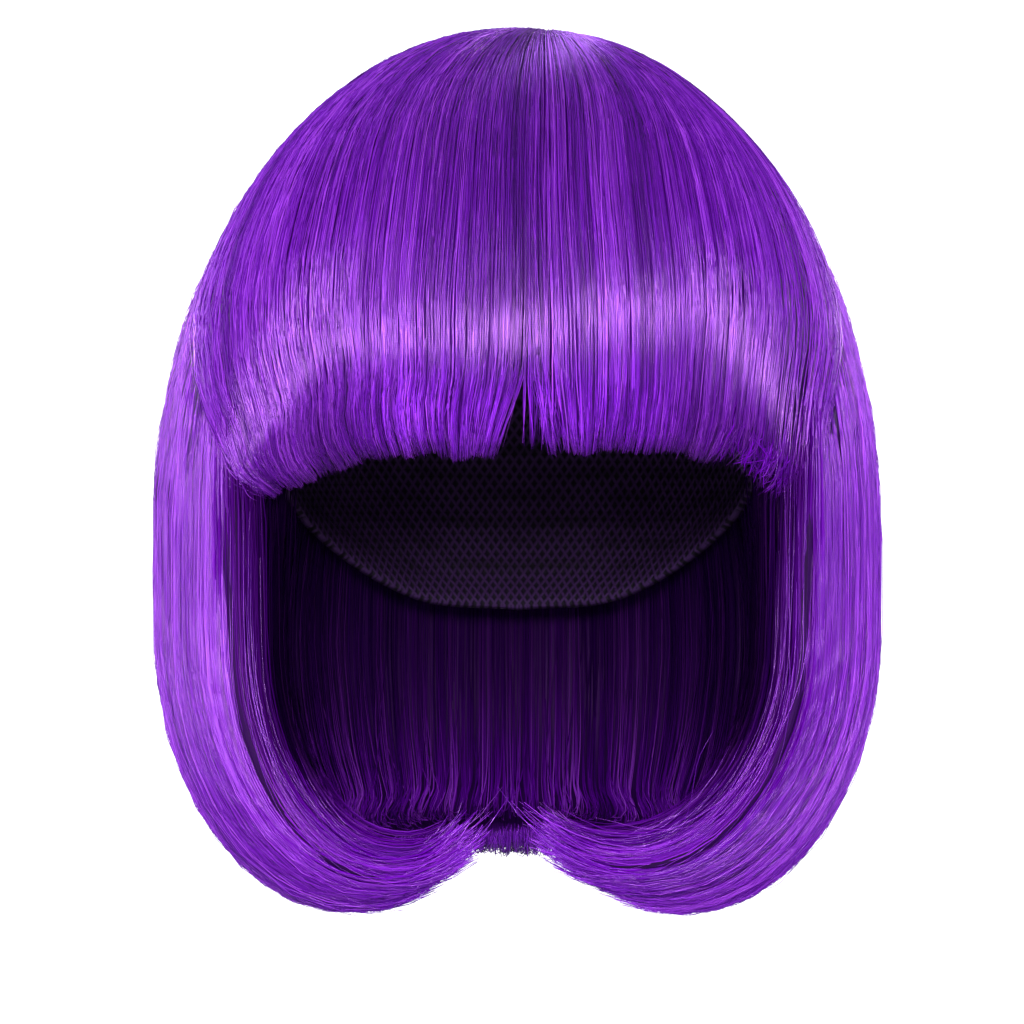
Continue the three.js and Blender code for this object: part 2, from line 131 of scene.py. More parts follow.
# Locks across each section: width as a share, height of the crest, and shortness of the ends
FRINGE_LOCKS = {
    "wide": (0.9, 1.2, 0.8, 1.1, 0.8, 0.5, 0.8, 1.2, 0.9, 1.0, 0.8),
    "crest": (0.9, 1.0, 0.7, 0.9, 0.8, 0.0, 0.7, 1.0, 0.8, 1.0, 0.8),
    "short": (0.0, 0.3, 0.1, 0.4, 0.1, 0.0, 0.2, 0.4, 0.0, 0.3, 0.0),
}
SIDE_LOCKS = {
    "wide": (0.7, 1.0, 0.8, 1.2, 0.9, 1.1, 1.0),
    "crest": (0.8, 1.0, 0.7, 1.0, 0.8, 0.9, 0.8),
    "short": (0.3, 0.0, 0.9, 0.2, 0.8, 0.0, 0.5),
}
BACK_LOCKS = {
    "wide": (1.0, 0.8, 1.2, 0.9, 1.1, 0.8, 1.1, 0.9, 1.2, 1.0),
    "crest": (0.9, 0.7, 1.0, 0.8, 0.9, 0.8, 1.0, 0.7, 1.0, 0.8),
    "short": (0.3, 0.8, 0.0, 0.6, 0.1, 0.6, 0.0, 0.8, 0.3, 0.5),
}


def blend(low, high, share):
    return low + (high - low) * share


def soft_step(value, low, high):
    share = np.clip((value - low) / (high - low), 0, 1)
    return share * share * (3 - 2 * share)


def along(table, key, column, place):
    """A column of a table at places between its rows, on a smooth curve through them."""
    x = np.array(table[key], float)
    y = np.array(table[column], float)
    place = np.clip(place, x[0], x[-1])
    i = np.clip(np.searchsorted(x, place, side="right") - 1, 0, len(x) - 2)
    before = np.maximum(np.arange(len(x)) - 1, 0)
    after = np.minimum(np.arange(len(x)) + 1, len(x) - 1)
    slope = (y[after] - y[before]) / (x[after] - x[before])
    span = x[i + 1] - x[i]
    f = (place - x[i]) / span
    g = 1 - f
    ends = y[i] * g * g * (1 + 2 * f) + y[i + 1] * f * f * (1 + 2 * g)
    return ends + span * f * g * (slope[i] * g - slope[i + 1] * f)


def from_face(direction):
    return (direction + 180) % 360 - 180


def unit(v):
    return v / np.maximum(np.linalg.norm(v, axis=-1, keepdims=True), 1e-12)


def length(name, description, default, precision=4):
    return bpy.props.FloatProperty(
        name=name, description=description, default=default, unit="LENGTH", precision=precision
    )


def number(name, description, default):
    return bpy.props.IntProperty(name=name, description=description, default=default)


def colour(name, description, default):
    return bpy.props.FloatVectorProperty(
        name=name, description=description, default=default, subtype="COLOR", size=3
    )


class WigSizes(bpy.types.PropertyGroup):
    """Sizes of the outline that the hair lies on, as in the solid model"""

    side_reach: length("Side reach", "Middle to the widest hair", 0.1085)
    front_reach: length("Front reach", "Middle to the fringe", 0.1165)
    back_reach: length("Back reach", "Middle to the back hair", 0.1235)
    crown_height: length("Crown height", "Hat line to the top of the hair", 0.1145)
    drop: length("Drop", "Hat line to the underside of the curls", 0.148)
    fringe_hang: length("Fringe hang", "Dome's foot to the fringe's ends", 0.025)
    slit_length: length("Slit length", "Height of the parting in the fringe", 0.028)


class WigStrands(bpy.types.PropertyGroup):
    """How the strands are drawn"""

    fibre: length("Strand radius", "Radius of one bundle of fibres", 0.00017, precision=5)
    fringe_count: number("Fringe strands", "Strands in the fringe", 2350)
    side_count: number("Side strands", "Strands in each side section", 1600)
    back_count: number("Back strands", "Strands in the back section", 1600)
    inner_count: number("Inner strands", "Strands on the inside of the curtains", 1300)
    fine_count: number("Fine strands", "Thin strands over the rest", 900)
    loose_count: number("Loose strands", "Stray hairs round the face", 130)


class WigColours(bpy.types.PropertyGroup):
    """Colours of the fibre and of the cap"""

    deep: colour("Deep violet", "Darkest fibre", (0.042, 0.0006, 0.148))
    middle: colour("Violet", "Most of the fibre", (0.118, 0.003, 0.345))
    light: colour("Light violet", "Lightest fibre", (0.3, 0.04, 0.64))
    net: colour("Net", "Net of the cap", (0.018, 0.005, 0.035))


# The outline of the hair

def on_plan(direction, radius, height):
    size = bpy.context.scene.wig_sizes
    turn = np.radians(direction)
    depth = np.where(np.cos(turn) > 0, size.front_reach, size.back_reach)
    x = size.side_reach * radius * np.sin(turn)
    y = -depth * radius * np.cos(turn)
    return np.stack([x, y, height + 0 * x], -1)


def foot_height(direction):
    return bpy.context.scene.wig_sizes.drop * along(DOME_FOOT, "at", "level", np.abs(from_face(direction)))


WHORL = np.array([0.009, 0.014])
DOME_POWER = 2.06


def dome_point(direction, stage):
    size = bpy.context.scene.wig_sizes
    radius = np.sin(np.radians(90 * stage))
    point = on_plan(direction, radius, 0.0)
    point[..., :2] += WHORL * ((1 - radius) ** 2)[..., None]
    across = point[..., 0] / size.side_reach
    back = point[..., 1] / np.where(point[..., 1] < 0, size.front_reach, size.back_reach)
    foot = foot_height(np.degrees(np.arctan2(across, -back)))
    rise = np.maximum(1 - np.hypot(across, back) ** DOME_POWER, 0) ** (1 / DOME_POWER)
    point[..., 2] = foot + (size.crown_height - foot) * rise
    return point


def fringe_point(direction, stage):
    size = bpy.context.scene.wig_sizes
    turn = np.radians(FRINGE_TURN * np.clip(stage - 1, 0, None))
    hang = size.fringe_hang * along(FRINGE_CUT, "at", "hang", from_face(direction))
    radius = 1 - FRINGE_TUCK * (1 - np.cos(turn))
    drop = hang * np.sin(turn) / math.sin(math.radians(FRINGE_TURN))
    below = on_plan(direction, radius, foot_height(direction) - drop)
    point = np.where((stage <= 1)[..., None], dome_point(direction, np.minimum(stage, 1)), below)
    run = np.where(stage < 1, 0.17 * (stage - 1), 1.1 * hang * (stage - 1))
    pull = MM * along(FRINGE_PULL, "at", "pull", from_face(direction)) * soft_step(run, -0.04, 0.015)
    point[..., :2] -= pull[..., None] * unit(point[..., :2])
    return point


def curtain_point(direction, stage):
    size = bpy.context.scene.wig_sizes
    direction = direction % 360
    curl = size.drop * along(CURLS, "at", "curl", direction)
    fall = np.clip((stage - 1) / (CURL_STAGE - 1), 0, 1)
    start = on_plan(direction, 1.0, blend(foot_height(direction), curl, fall))
    turn = np.radians(CURL_TURN * np.clip(stage - CURL_STAGE, 0, None) / (2 - CURL_STAGE))
    low = size.drop * along(CURLS, "at", "low", direction)
    deep = along(CURLS, "at", "deep", direction)
    end_x = size.side_reach * along(CURLS, "at", "across", direction)
    end_y = deep * np.where(deep < 0, size.front_reach, size.back_reach)
    end = np.stack([end_x, end_y, curl], -1)
    swing = (1 - np.cos(turn)) / (1 - math.cos(math.radians(CURL_TURN)))
    below = blend(start, end, swing[..., None])
    below[..., 2] = np.where(stage > CURL_STAGE, curl + (low - curl) * np.sin(turn), start[..., 2])
    return np.where((stage <= 1)[..., None], dome_point(direction, np.minimum(stage, 1)), below)


def outward(surface, direction, stage):
    step = 0.01
    turn_step = 0.5
    place = np.clip(stage, 2 * step, 2.2 - step)
    down = surface(direction, place + step) - surface(direction, place - step)
    across = surface(direction + turn_step, place) - surface(direction - turn_step, place)
    return unit(np.cross(down, across))


def head_point(direction, turn, grow):
    """A point of the head's rounded form, grown by a distance."""
    side = np.radians(direction)
    x = (HEAD[0] + grow) * np.sin(turn) * np.sin(side)
    y = -(HEAD[1] + grow) * np.sin(turn) * np.cos(side)
    return np.stack([x, y, (HEAD[2] + grow) * np.cos(turn)], -1)


# Where each section's paths lie: at is 0 to 1 across it

def lay_fringe(at, stage):
    side = 2 * at - 1
    edge = along(FRINGE_SEAM, "stage", "at", stage)
    edge *= blend(1, np.where(side < 0, *FRINGE_CORNERS), soft_step(stage, 0.82, 1.5))
    spread = along(FRINGE_SPREAD, "stage", "spread", stage)
    inside = np.minimum(np.abs(side), 1)
    past = np.abs(side) - inside
    return np.sign(side) * edge * (1 - (1 - inside) ** spread + past)


def fringe_fall(at, stage):
    """The strands on the wearer's left leave the seam and fall straight, over the side hair."""
    past = np.maximum(stage - 0.87, 0)
    straight = np.minimum(stage, 0.87) + 0.06 * (1 - np.exp(-past / 0.06))
    return lay_fringe(at, np.where(at > 0.5, straight, stage))


def lay_left(at, stage):
    return blend(along(CURTAIN_SEAM, "stage", "at", stage), BACK_SEAM, at)


def lay_right(at, stage):
    return 360 - lay_left(1 - at, stage)


def lay_back(at, stage):
    return blend(BACK_SEAM, 360 - BACK_SEAM, at)


def falling(lay):
    """Below the fringe's edge the side hair falls straight down, from under the fringe."""
    return lambda at, stage: lay(at, np.maximum(stage, 1.2))


def under_fringe(direction):
    """Stage where the side hair of a direction comes out from under the fringe."""
    edge = np.abs(from_face(direction)) + 5
    places = FRINGE_SEAM["at"][6:0:-1]
    return np.where(edge < 84, np.interp(edge, places, FRINGE_SEAM["stage"][6:0:-1]), 0.0)


def end_length(surface, direction):
    """Length of a path below the dome's foot."""
    stages = np.linspace(1, 2, 13)
    places, stages = np.broadcast_arrays(np.asarray(direction)[..., None], stages)
    points = surface(places, stages)
    return np.linalg.norm(np.diff(points, axis=-2), axis=-1).sum(-1)


def lock_relief(locks, at):
    """Height of the crest and shortness of the ends at places across a section."""
    wide = np.array(locks["wide"], float)
    edges = np.concatenate([[0], np.cumsum(wide)]) / wide.sum()
    inside = np.clip(at, 0, 1 - 1e-9)
    i = np.searchsorted(edges, inside, side="right") - 1
    part = (inside - edges[i]) / (edges[i + 1] - edges[i])
    bow = np.sin(np.pi * np.clip(part, 0, 1)) ** 0.7
    return bow * np.array(locks["crest"])[i], 1 - bow * (1 - np.array(locks["short"])[i])


GROOVE_DEPTH = 2.4 * MM
TIP_WALL = 3 * MM
LEAST_WALL = 2 * MM


def wall_at(section, at, stage, outline, out):
    """Thickness of the hair: what hangs free, or what fits between the outline and the cap."""
    near_edge = soft_step(section["free_edge"](at), 0, 0.16)
    share = blend(0.5, 1, near_edge) * along(section["walls"], "stage", "wall", stage)
    free = TIP_WALL + GROOVE_DEPTH + section["wall"] * share
    size = np.array(HEAD) + CAP_WALL + SEAT_GAP
    place = outline / size
    way = out / size
    square_way = (way**2).sum(-1)
    half = (place * way).sum(-1) / square_way
    square = half**2 - ((place**2).sum(-1) - 1) / square_way
    cap = np.where(square > 0, half - np.sqrt(np.maximum(square, 0)), 1.0)
    return np.maximum(np.minimum(free, cap), GROOVE_DEPTH + LEAST_WALL)


# The partings of the fringe: where each opens, its stage there, and how far each side draws back
PARTINGS = {
    "at": (0.511, 0.548),
    "stage": (0.87, 1.55),
    "left": (0.036, 0.002),
    "right": (0.029, 0.007),
}


def part_fringe(at, stage):
    """How far hair beside a parting is drawn away from it."""
    push = 0 * (at + stage)
    for middle, top, left, right in zip(*PARTINGS.values()):
        opened = np.clip((stage - top) / (2 - top), 0, 1) ** 1.15
        near = np.clip(1 - np.abs(at - middle) / (3.0 * np.where(at < middle, left, right)), 0, 1)
        push += np.where(at < middle, -left, right) * near * opened
    return push


def trim_of(direction):
    return bpy.context.scene.wig_sizes.drop * along(CURLS, "at", "trim", direction % 360)


def even(value):
    """The same value at every place."""
    return lambda place, *_: value + 0 * place


FRINGE = {
    "surface": fringe_point,
    "lay": lay_fringe,
    "locks": FRINGE_LOCKS,
    "wall": 10 * MM,
    "walls": FRINGE_WALLS,
    "trim": even(0),
    "parting": part_fringe,
    "free_edge": lambda at: np.minimum(at, 1 - at),
    "paces": {"run": (0, 0.72, 1, 1.03), "stage": (0, 1, 2, 2.1)},
    "clumps": 78,
    "seed": 5,
}
CURTAIN = {
    "surface": curtain_point,
    "wall": 19 * MM,
    "walls": CURTAIN_WALLS,
    "trim": trim_of,
    "parting": even(0),
    "paces": {"run": (0, 0.40, 0.48, 1, 1.08), "stage": (0, 1, 1.3, 2, 2.1)},
    "clumps": 40,
}
LEFT = {**CURTAIN, "lay": lay_left, "locks": SIDE_LOCKS, "free_edge": lambda at: at, "seed": 6}
RIGHT_LOCKS = {key: tuple(reversed(row)) for key, row in SIDE_LOCKS.items()}
RIGHT = {**CURTAIN, "lay": lay_right, "locks": RIGHT_LOCKS, "free_edge": lambda at: 1 - at, "seed": 7}
BACK = {**CURTAIN, "lay": lay_back, "locks": BACK_LOCKS, "free_edge": even(1), "clumps": 60, "seed": 8}


# Meshes from arrays

def mesh_object(name, whole):
    """A joined mesh from arrays, shaded smooth, with a tone, a painted shade and a run at each point."""
    mesh = bpy.data.meshes.new(name)
    quads, triangles = whole["quads"], whole["triangles"]
    loops = np.concatenate([quads.ravel(), triangles.ravel()]).astype(np.int32)
    sizes = np.concatenate([np.full(len(quads), 4), np.full(len(triangles), 3)]).astype(np.int32)
    starts = np.concatenate([[0], np.cumsum(sizes)[:-1]]).astype(np.int32)
    mesh.vertices.add(len(whole["points"]))
    mesh.vertices.foreach_set("co", whole["points"].astype(np.float32).ravel())
    mesh.loops.add(len(loops))
    mesh.loops.foreach_set("vertex_index", loops)
    mesh.polygons.add(len(sizes))
    mesh.polygons.foreach_set("loop_start", starts)
    mesh.polygons.foreach_set("loop_total", sizes)
    mesh.update(calc_edges=True)
    mesh.polygons.foreach_set("use_smooth", np.ones(len(sizes), bool))
    for key in ("tone", "shade"):
        attribute = mesh.attributes.new(key, "FLOAT", "POINT")
        attribute.data.foreach_set("value", whole[key].astype(np.float32))
    uv = mesh.uv_layers.new(name="hair")
    places = np.stack([whole["tone"], whole["run"]], -1)
    uv.data.foreach_set("uv", places[loops].astype(np.float32).ravel())
    mesh.validate()
    piece = bpy.data.objects.new(name, mesh)
    bpy.context.scene.collection.objects.link(piece)
    return piece


STRAND_SIDES = 3

# How far below the outline the mass of packed hair lies
FRINGE_INSET = 1.75 * MM
CURTAIN_INSET = 1.8 * MM


def strand_arrays(lines, normals, radii, tone, shade, run):
    """Closed tubes along many lines: points, quads, triangles and the value at each point."""
    count, steps = lines.shape[:2]
    ahead = unit(np.gradient(lines, axis=1))
    up = unit(normals - (normals * ahead).sum(-1, keepdims=True) * ahead)
    side = np.cross(ahead, up)
    angles = np.radians(90 + 360 / STRAND_SIDES * np.arange(STRAND_SIDES))
    ring = np.sin(angles)[:, None] * up[:, :, None] + np.cos(angles)[:, None] * side[:, :, None]
    points = lines[:, :, None] + ring * radii[:, :, None, None]
    index = np.arange(count * steps * STRAND_SIDES).reshape(count, steps, STRAND_SIDES)
    a = index[:, :-1]
    b = index[:, 1:]
    turned_a = np.roll(a, -1, axis=2)
    turned_b = np.roll(b, -1, axis=2)
    quads = np.stack([a, turned_a, turned_b, b], -1).reshape(-1, 4)
    first = index[:, 0, ::-1].reshape(-1, STRAND_SIDES)
    last = index[:, -1].reshape(-1, STRAND_SIDES)
    spread = np.ones(STRAND_SIDES)
    return {
        "points": points.reshape(-1, 3),
        "quads": quads,
        "triangles": np.concatenate([first, last]),
        "tone": (tone[:, :, None] * spread).ravel(),
        "shade": (shade[:, :, None] * spread).ravel(),
        "run": (run[:, :, None] * spread).ravel(),
    }


def join_arrays(parts):
    shift = 0
    quads = []
    triangles = []
    for part in parts:
        quads.append(part["quads"] + shift)
        triangles.append(part["triangles"] + shift)
        shift += len(part["points"])
    whole = {key: np.concatenate([part[key] for part in parts]) for key in ("points", "tone", "shade", "run")}
    whole["quads"] = np.concatenate(quads)
    whole["triangles"] = np.concatenate(triangles)
    return whole


def slow_waves(rng, run, waves):
    """Smooth random wander along each strand, about -1 to 1."""
    total = np.zeros_like(run)
    for k in range(1, waves + 1):
        phase = rng.uniform(0, 2 * np.pi, (len(run), 1))
        size = rng.normal(0, 0.6, (len(run), 1)) / k
        total += size * np.sin(np.pi * k * run + phase)
    return total


def patches(seed, across, down):
    """Smooth random patches on a grid of unit cells, about -1 to 1."""
    table = np.random.default_rng(seed).normal(0, 0.6, (997, 61))
    i = np.floor(across).astype(int)
    j = np.floor(down).astype(int)
    u = across - i
    v = down - j
    u, v = u * u * (3 - 2 * u), v * v * (3 - 2 * v)
    near = blend(table[i % 997, j % 61], table[(i + 1) % 997, j % 61], u)
    far = blend(table[i % 997, (j + 1) % 61], table[(i + 1) % 997, (j + 1) % 61], u)
    return blend(near, far, v)


def clumps_of(section, at):
    """The middle of each place's clump, how far off it the place is, and the clump's own values."""
    count = section["clumps"]
    rng = np.random.default_rng(section["seed"])
    edges = np.concatenate([[0], np.cumsum(rng.uniform(0.4, 1.6, count))])
    edges = -0.03 + 1.06 * edges / edges[-1]
    i = np.clip(np.searchsorted(edges, at) - 1, 0, count - 1)
    middle = (edges[i] + edges[i + 1]) / 2
    off = np.clip((at - middle) / (edges[i + 1] - edges[i]) * 2, -1, 1)
    return middle, off, rng.uniform(0, 1, (count, 3))[i]


def strand_set(section, seed, at, first, depth, style):
    """Strands of one section. at is each strand's place across it, first the stage where it
    starts and depth how far below the outline it lies, as a share of the wall."""
    rng = np.random.default_rng(seed)
    count = len(at)
    surface, lay = section["surface"], section["lay"]
    middle, off, clump = clumps_of(section, at)
    inside = np.clip(at, 0, 1)
    crest, short = lock_relief(section["locks"], inside)
    tip = lay(inside, np.full(count, 2.0))
    length = end_length(surface, tip)
    ragged = style["ragged"] * (0.5 * clump[:, 0] + 0.4 * off**2 + rng.exponential(0.4, count) - 0.4)
    cut = section["trim"](tip) + 2.2 * MM * short + ragged + style["shorter"]
    reach = np.maximum(2 - cut / length, first + 0.12)
    paces = section["paces"]
    begin = np.interp(first, paces["stage"], paces["run"])[:, None]
    end = np.interp(reach, paces["stage"], paces["run"])[:, None]
    run = np.linspace(0, 1, style["steps"])[None, :] + 0 * begin
    stage = np.interp(begin + (end - begin) * run, paces["run"], paces["stage"])

    pinch = style["pinch"] * (0.4 + 1.2 * clump[:, 1:2]) * soft_step(stage, style["pinch_from"], 2.0)
    place = at[:, None] + (middle - at)[:, None] * pinch
    place += style["clump_sway"] * (clump[:, 2:3] - 0.5) / section["clumps"] * soft_step(stage, 0.1, 1.6)
    place += section["parting"](at[:, None], stage) * style["parted"][:, None]
    direction = lay(place, stage)
    outline = surface(direction, stage)
    out = outward(surface, direction, stage)
    wall = wall_at(section, np.clip(place, 0, 1), stage, outline, out)

    relief = GROOVE_DEPTH * blend(0.08, 0.4, soft_step(stage, 0.6, 2.0))
    lift = style["lift"] + 0.8 * MM * (1 - soft_step(stage, 0.05, 0.4)) - relief * (1 - crest[:, None])
    lift += style["clump_lift"] * (clump[:, 1:2] - 0.5) * soft_step(stage, 0.2, 1.2)
    lift += style["bow"] * (1 - off[:, None] ** 2) * soft_step(stage, 0.2, 1.0)
    swell = patches(section["seed"] + 2, middle[:, None] * 53 + 90, stage * 7)
    lift += style["swell"] * swell * soft_step(stage, 0.3, 0.6)
    sunk = blend(0.35, 1, soft_step(first, 0.05, 0.2))[:, None]
    lift -= style["sink"] * (1 - soft_step(run, 0, 0.22)) * sunk
    lift -= depth[:, None] * (wall - 1.2 * MM) * soft_step(stage, 0.3, 0.9)
    edge = section["free_edge"](place)
    lift -= style["edge_turn"] * np.clip(1 - edge / 0.1, 0, 1) ** 2 * soft_step(stage, 0.9, 1.1)
    lift += style["rough"] * slow_waves(rng, run, 2) * soft_step(run, 0, 0.2)
    stray = np.where(rng.uniform(0, 1, count) < style["stray"], 4.0, 1.0)[:, None]
    lift += 0.12 * MM * (stray - 1) * soft_step(run, 0.1, 0.5)
    across = unit(np.cross(out, np.gradient(outline, axis=1)))
    sway = style["sway"] * stray * slow_waves(rng, run, 2) * soft_step(stage, 0.1, 0.7)
    fray = style["fray"] * soft_step(run, style["fray_from"], 1.0)
    lift += 0.6 * fray * rng.normal(0.2, 1, (count, 1))
    sway += fray * rng.normal(0, 1, (count, 1))
    lines = outline + out * lift[..., None] + across * sway[..., None]

    radius = style["radius"] * rng.uniform(0.7, 1.3, (count, 1))
    thin = blend(0.5, 1, soft_step(run, 0, 0.1)) * blend(1, style["tip"], soft_step(run, 0.8, 1.0))
    seed_at = section["seed"]
    tone = 0.5 + 0.15 * rng.normal(0, 1, (count, 1)) + 0.0 * run
    tone += 0.13 * patches(seed_at, place * 26 + 40, stage * 1.3 + 3)
    tone += 0.13 * patches(seed_at + 1, place * 110 + 40, stage * 2.2 + 3)
    tone += np.where(rng.uniform(0, 1, (count, 1)) < 0.05, 0.3, 0.0)
    tone += style["clump_tone"] * (clump[:, 2:3] - 0.5)
    # Painted shade: strands deep in the wall of hair are darker, as in its shadowed inside, less so in the
    # lit curls
    inner = soft_step(depth[:, None] + 0 * stage, 0.15, 0.55) * blend(1, 0.45, soft_step(stage, 1.35, 1.75))
    shade = 1 - (1 - style["inner_shade"]) * inner
    # Painted shade: strands near a free face edge are darker, as where the edge turns in and lies in shadow,
    # less so low in the curls
    shade *= blend(1 - style["edge_dark"] * (1 - soft_step(stage, 1.4, 1.7)), 1, soft_step(edge, 0.0, 0.14))
    # Painted light and shade from the dome's foot down: darker below 1, where the ends turn under away from
    # the light, lighter above 1
    shade *= blend(1, style["end_shade"], soft_step(stage, 0.82, 1.15))
    # Painted light: the last quarter of each strand is lighter where a value above 1 is given, as where the
    # ends catch the light
    shade *= blend(1, style["tip_shade"], soft_step(run, 0.75, 1.0))
    # Painted shade: the upper dome, down to about stage 0.5, is drawn darker
    shade *= blend(0.86, 1, soft_step(stage, 0.5, 0.8))
    # Painted shade: strands near the edges of their clump are darker, as in the shadowed gaps between locks
    shade *= 1 - style["gap"] * off[:, None] ** 4 * soft_step(stage, 0.3, 0.9)
    return strand_arrays(lines, out, radius * thin, np.clip(tone, 0, 1), shade, stage / 2)


def spread_places(rng, count, low=0.0, high=1.0):
    places = (np.arange(count) + rng.uniform(0, 1, count)) / count
    rng.shuffle(places)
    return low + (high - low) * places


def start_stages(rng, count, share):
    """Stages where strands start, so that they cover the dome evenly from the whorl down."""
    return np.clip(np.degrees(np.arcsin(share * rng.uniform(0.004, 1, count))) / 90, 0.003, 1)


def shell(name, section, low, high, columns, rows, inset, short):
    """The mass of hair under the strands: a closed shell between the outline and the head."""
    at = np.linspace(low, high, columns)[:, None] + np.zeros((1, rows))
    surface, lay = section["surface"], section["lay"]
    crest, ends = lock_relief(section["locks"], at[:, 0])
    tip = lay(at[:, 0], np.full(columns, 2.0))
    length = end_length(surface, tip)
    reach = 2 - (section["trim"](tip) + short(at[:, 0]) + 3 * MM * ends) / length
    paces = section["paces"]
    begin = np.interp(0.002, paces["stage"], paces["run"])
    end = np.interp(reach, paces["stage"], paces["run"])[:, None]
    stage = np.interp(begin + (end - begin) * np.linspace(0, 1, rows)[None, :], paces["run"], paces["stage"])
    direction = lay(at, stage)
    outline = surface(direction, stage)
    out = outward(surface, direction, stage)
    wall = wall_at(section, at, stage, outline, out)
    top = inset + GROOVE_DEPTH * blend(0.08, 0.4, soft_step(stage, 0.6, 2.0)) * (1 - crest[:, None])
    top += 0.8 * MM * soft_step(stage / reach[:, None], 0.9, 1.0)
    outside = outline - out * top[..., None]
    inside = outline - out * np.maximum(wall - 0.6 * MM - top, top + 1.0 * MM)[..., None]
    hem = soft_step(section["free_edge"](at), 0.04, 0.2)
    count = columns * rows
    index = np.arange(count).reshape(columns, rows)
    a, b = index[:-1, :-1], index[1:, :-1]
    c, d = index[1:, 1:], index[:-1, 1:]
    face = np.stack([a, d, c, b], -1).reshape(-1, 4)
    rim = np.concatenate([index[0, :], index[1:, -1], index[-1, -2::-1], index[-2:0:-1, 0]])
    after = np.roll(rim, -1)
    walls = np.stack([after, rim, rim + count, after + count], -1)
    whole = {
        "points": np.concatenate([outside.reshape(-1, 3), inside.reshape(-1, 3)]),
        "quads": np.concatenate([face, face[:, ::-1] + count, walls]),
        "triangles": np.zeros((0, 3), int),
        "tone": np.concatenate([at.ravel(), at.ravel()]),
        # Painted shade: the mass's outside at half brightness, as the shadowed hair between strands, darker
        # near a free edge; its inside darker still
        "shade": np.concatenate([0.5 * blend(0.3, 1, hem).ravel(), np.full(count, 0.12)]),
        "run": np.concatenate([stage.ravel() / 2, stage.ravel() / 2]),
    }
    return mesh_object(name, whole)


# Materials

def node(tree, kind, place, **values):
    made = tree.nodes.new(kind)
    made.location = place
    for key, value in values.items():
        setattr(made, key, value)
    return made


def new_material(name):
    made = bpy.data.materials.new(name)
    made.use_nodes = True
    return made, made.node_tree, made.node_tree.nodes["Principled BSDF"]


def set_inputs(target, values):
    for key, value in values.items():
        target.inputs[key].default_value = value


def shaded_ramp(tree, value, stops):
    """A colour ramp over a value, darkened, or lightened where it is above 1, by the painted shade that each
    point carries.
    """
    ramp = node(tree, "ShaderNodeValToRGB", (-700, 200))
    for k, (position, colour) in enumerate(stops):
        stop = ramp.color_ramp.elements[k] if k < 2 else ramp.color_ramp.elements.new(position)
        stop.position = position
        stop.color = (*colour, 1)
    shade = node(tree, "ShaderNodeAttribute", (-700, -100), attribute_name="shade")
    mix = node(tree, "ShaderNodeMix", (-350, 200), data_type="RGBA", blend_type="MULTIPLY")
    mix.inputs["Factor"].default_value = 1.0
    tree.links.new(value, ramp.inputs["Fac"])
    tree.links.new(ramp.outputs["Color"], mix.inputs["A"])
    tree.links.new(shade.outputs["Color"], mix.inputs["B"])
    tree.links.new(mix.outputs["Result"], tree.nodes["Principled BSDF"].inputs["Base Color"])


def times(colour, share):
    return tuple(channel * share for channel in colour)


def fibre_material(name, gloss, roughness):
    """Glossy fibre, whose tone differs from strand to strand."""
    colours = bpy.context.scene.wig_colours
    made, tree, shader = new_material(name)
    tone = node(tree, "ShaderNodeAttribute", (-1000, 200), attribute_name="tone")
    stops = ((0.1, colours.deep), (0.95, colours.light), (0.5, colours.middle))
    shaded_ramp(tree, tone.outputs["Fac"], stops)
    set_inputs(shader, {
        "Roughness": roughness,
        "IOR": 1.7,
        "Specular IOR Level": gloss,
        "Specular Tint": (0.74, 0.31, 1.0, 1),
        "Sheen Weight": 0.06 * gloss,
        "Sheen Roughness": 0.35,
        "Sheen Tint": (0.6, 0.25, 1.0, 1),
    })
    return made


def mass_material():
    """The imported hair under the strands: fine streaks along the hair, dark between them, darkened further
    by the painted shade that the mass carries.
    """
    colours = bpy.context.scene.wig_colours
    made, tree, shader = new_material("hair_mass")
    place = node(tree, "ShaderNodeUVMap", (-1500, 0), uv_map="hair")
    stretch = node(tree, "ShaderNodeMapping", (-1300, 0))
    stretch.inputs["Scale"].default_value = (420, 6, 1)
    streak = node(tree, "ShaderNodeTexNoise", (-1100, 0))
    set_inputs(streak, {"Scale": 1.0, "Detail": 3.0})
    bump = node(tree, "ShaderNodeBump", (-350, -250))
    set_inputs(bump, {"Strength": 0.8, "Distance": 0.0004})
    tree.links.new(place.outputs["UV"], stretch.inputs["Vector"])
    tree.links.new(stretch.outputs["Vector"], streak.inputs["Vector"])
    tree.links.new(streak.outputs["Fac"], bump.inputs["Height"])
    tree.links.new(bump.outputs["Normal"], shader.inputs["Normal"])
    shaded_ramp(tree, streak.outputs["Fac"], ((0.35, times(colours.deep, 0.9)), (0.7, colours.middle)))
    tint = (0.78, 0.34, 1.0, 1)
    set_inputs(shader, {"Roughness": 0.5, "Specular IOR Level": 0.12, "Specular Tint": tint})
    return made


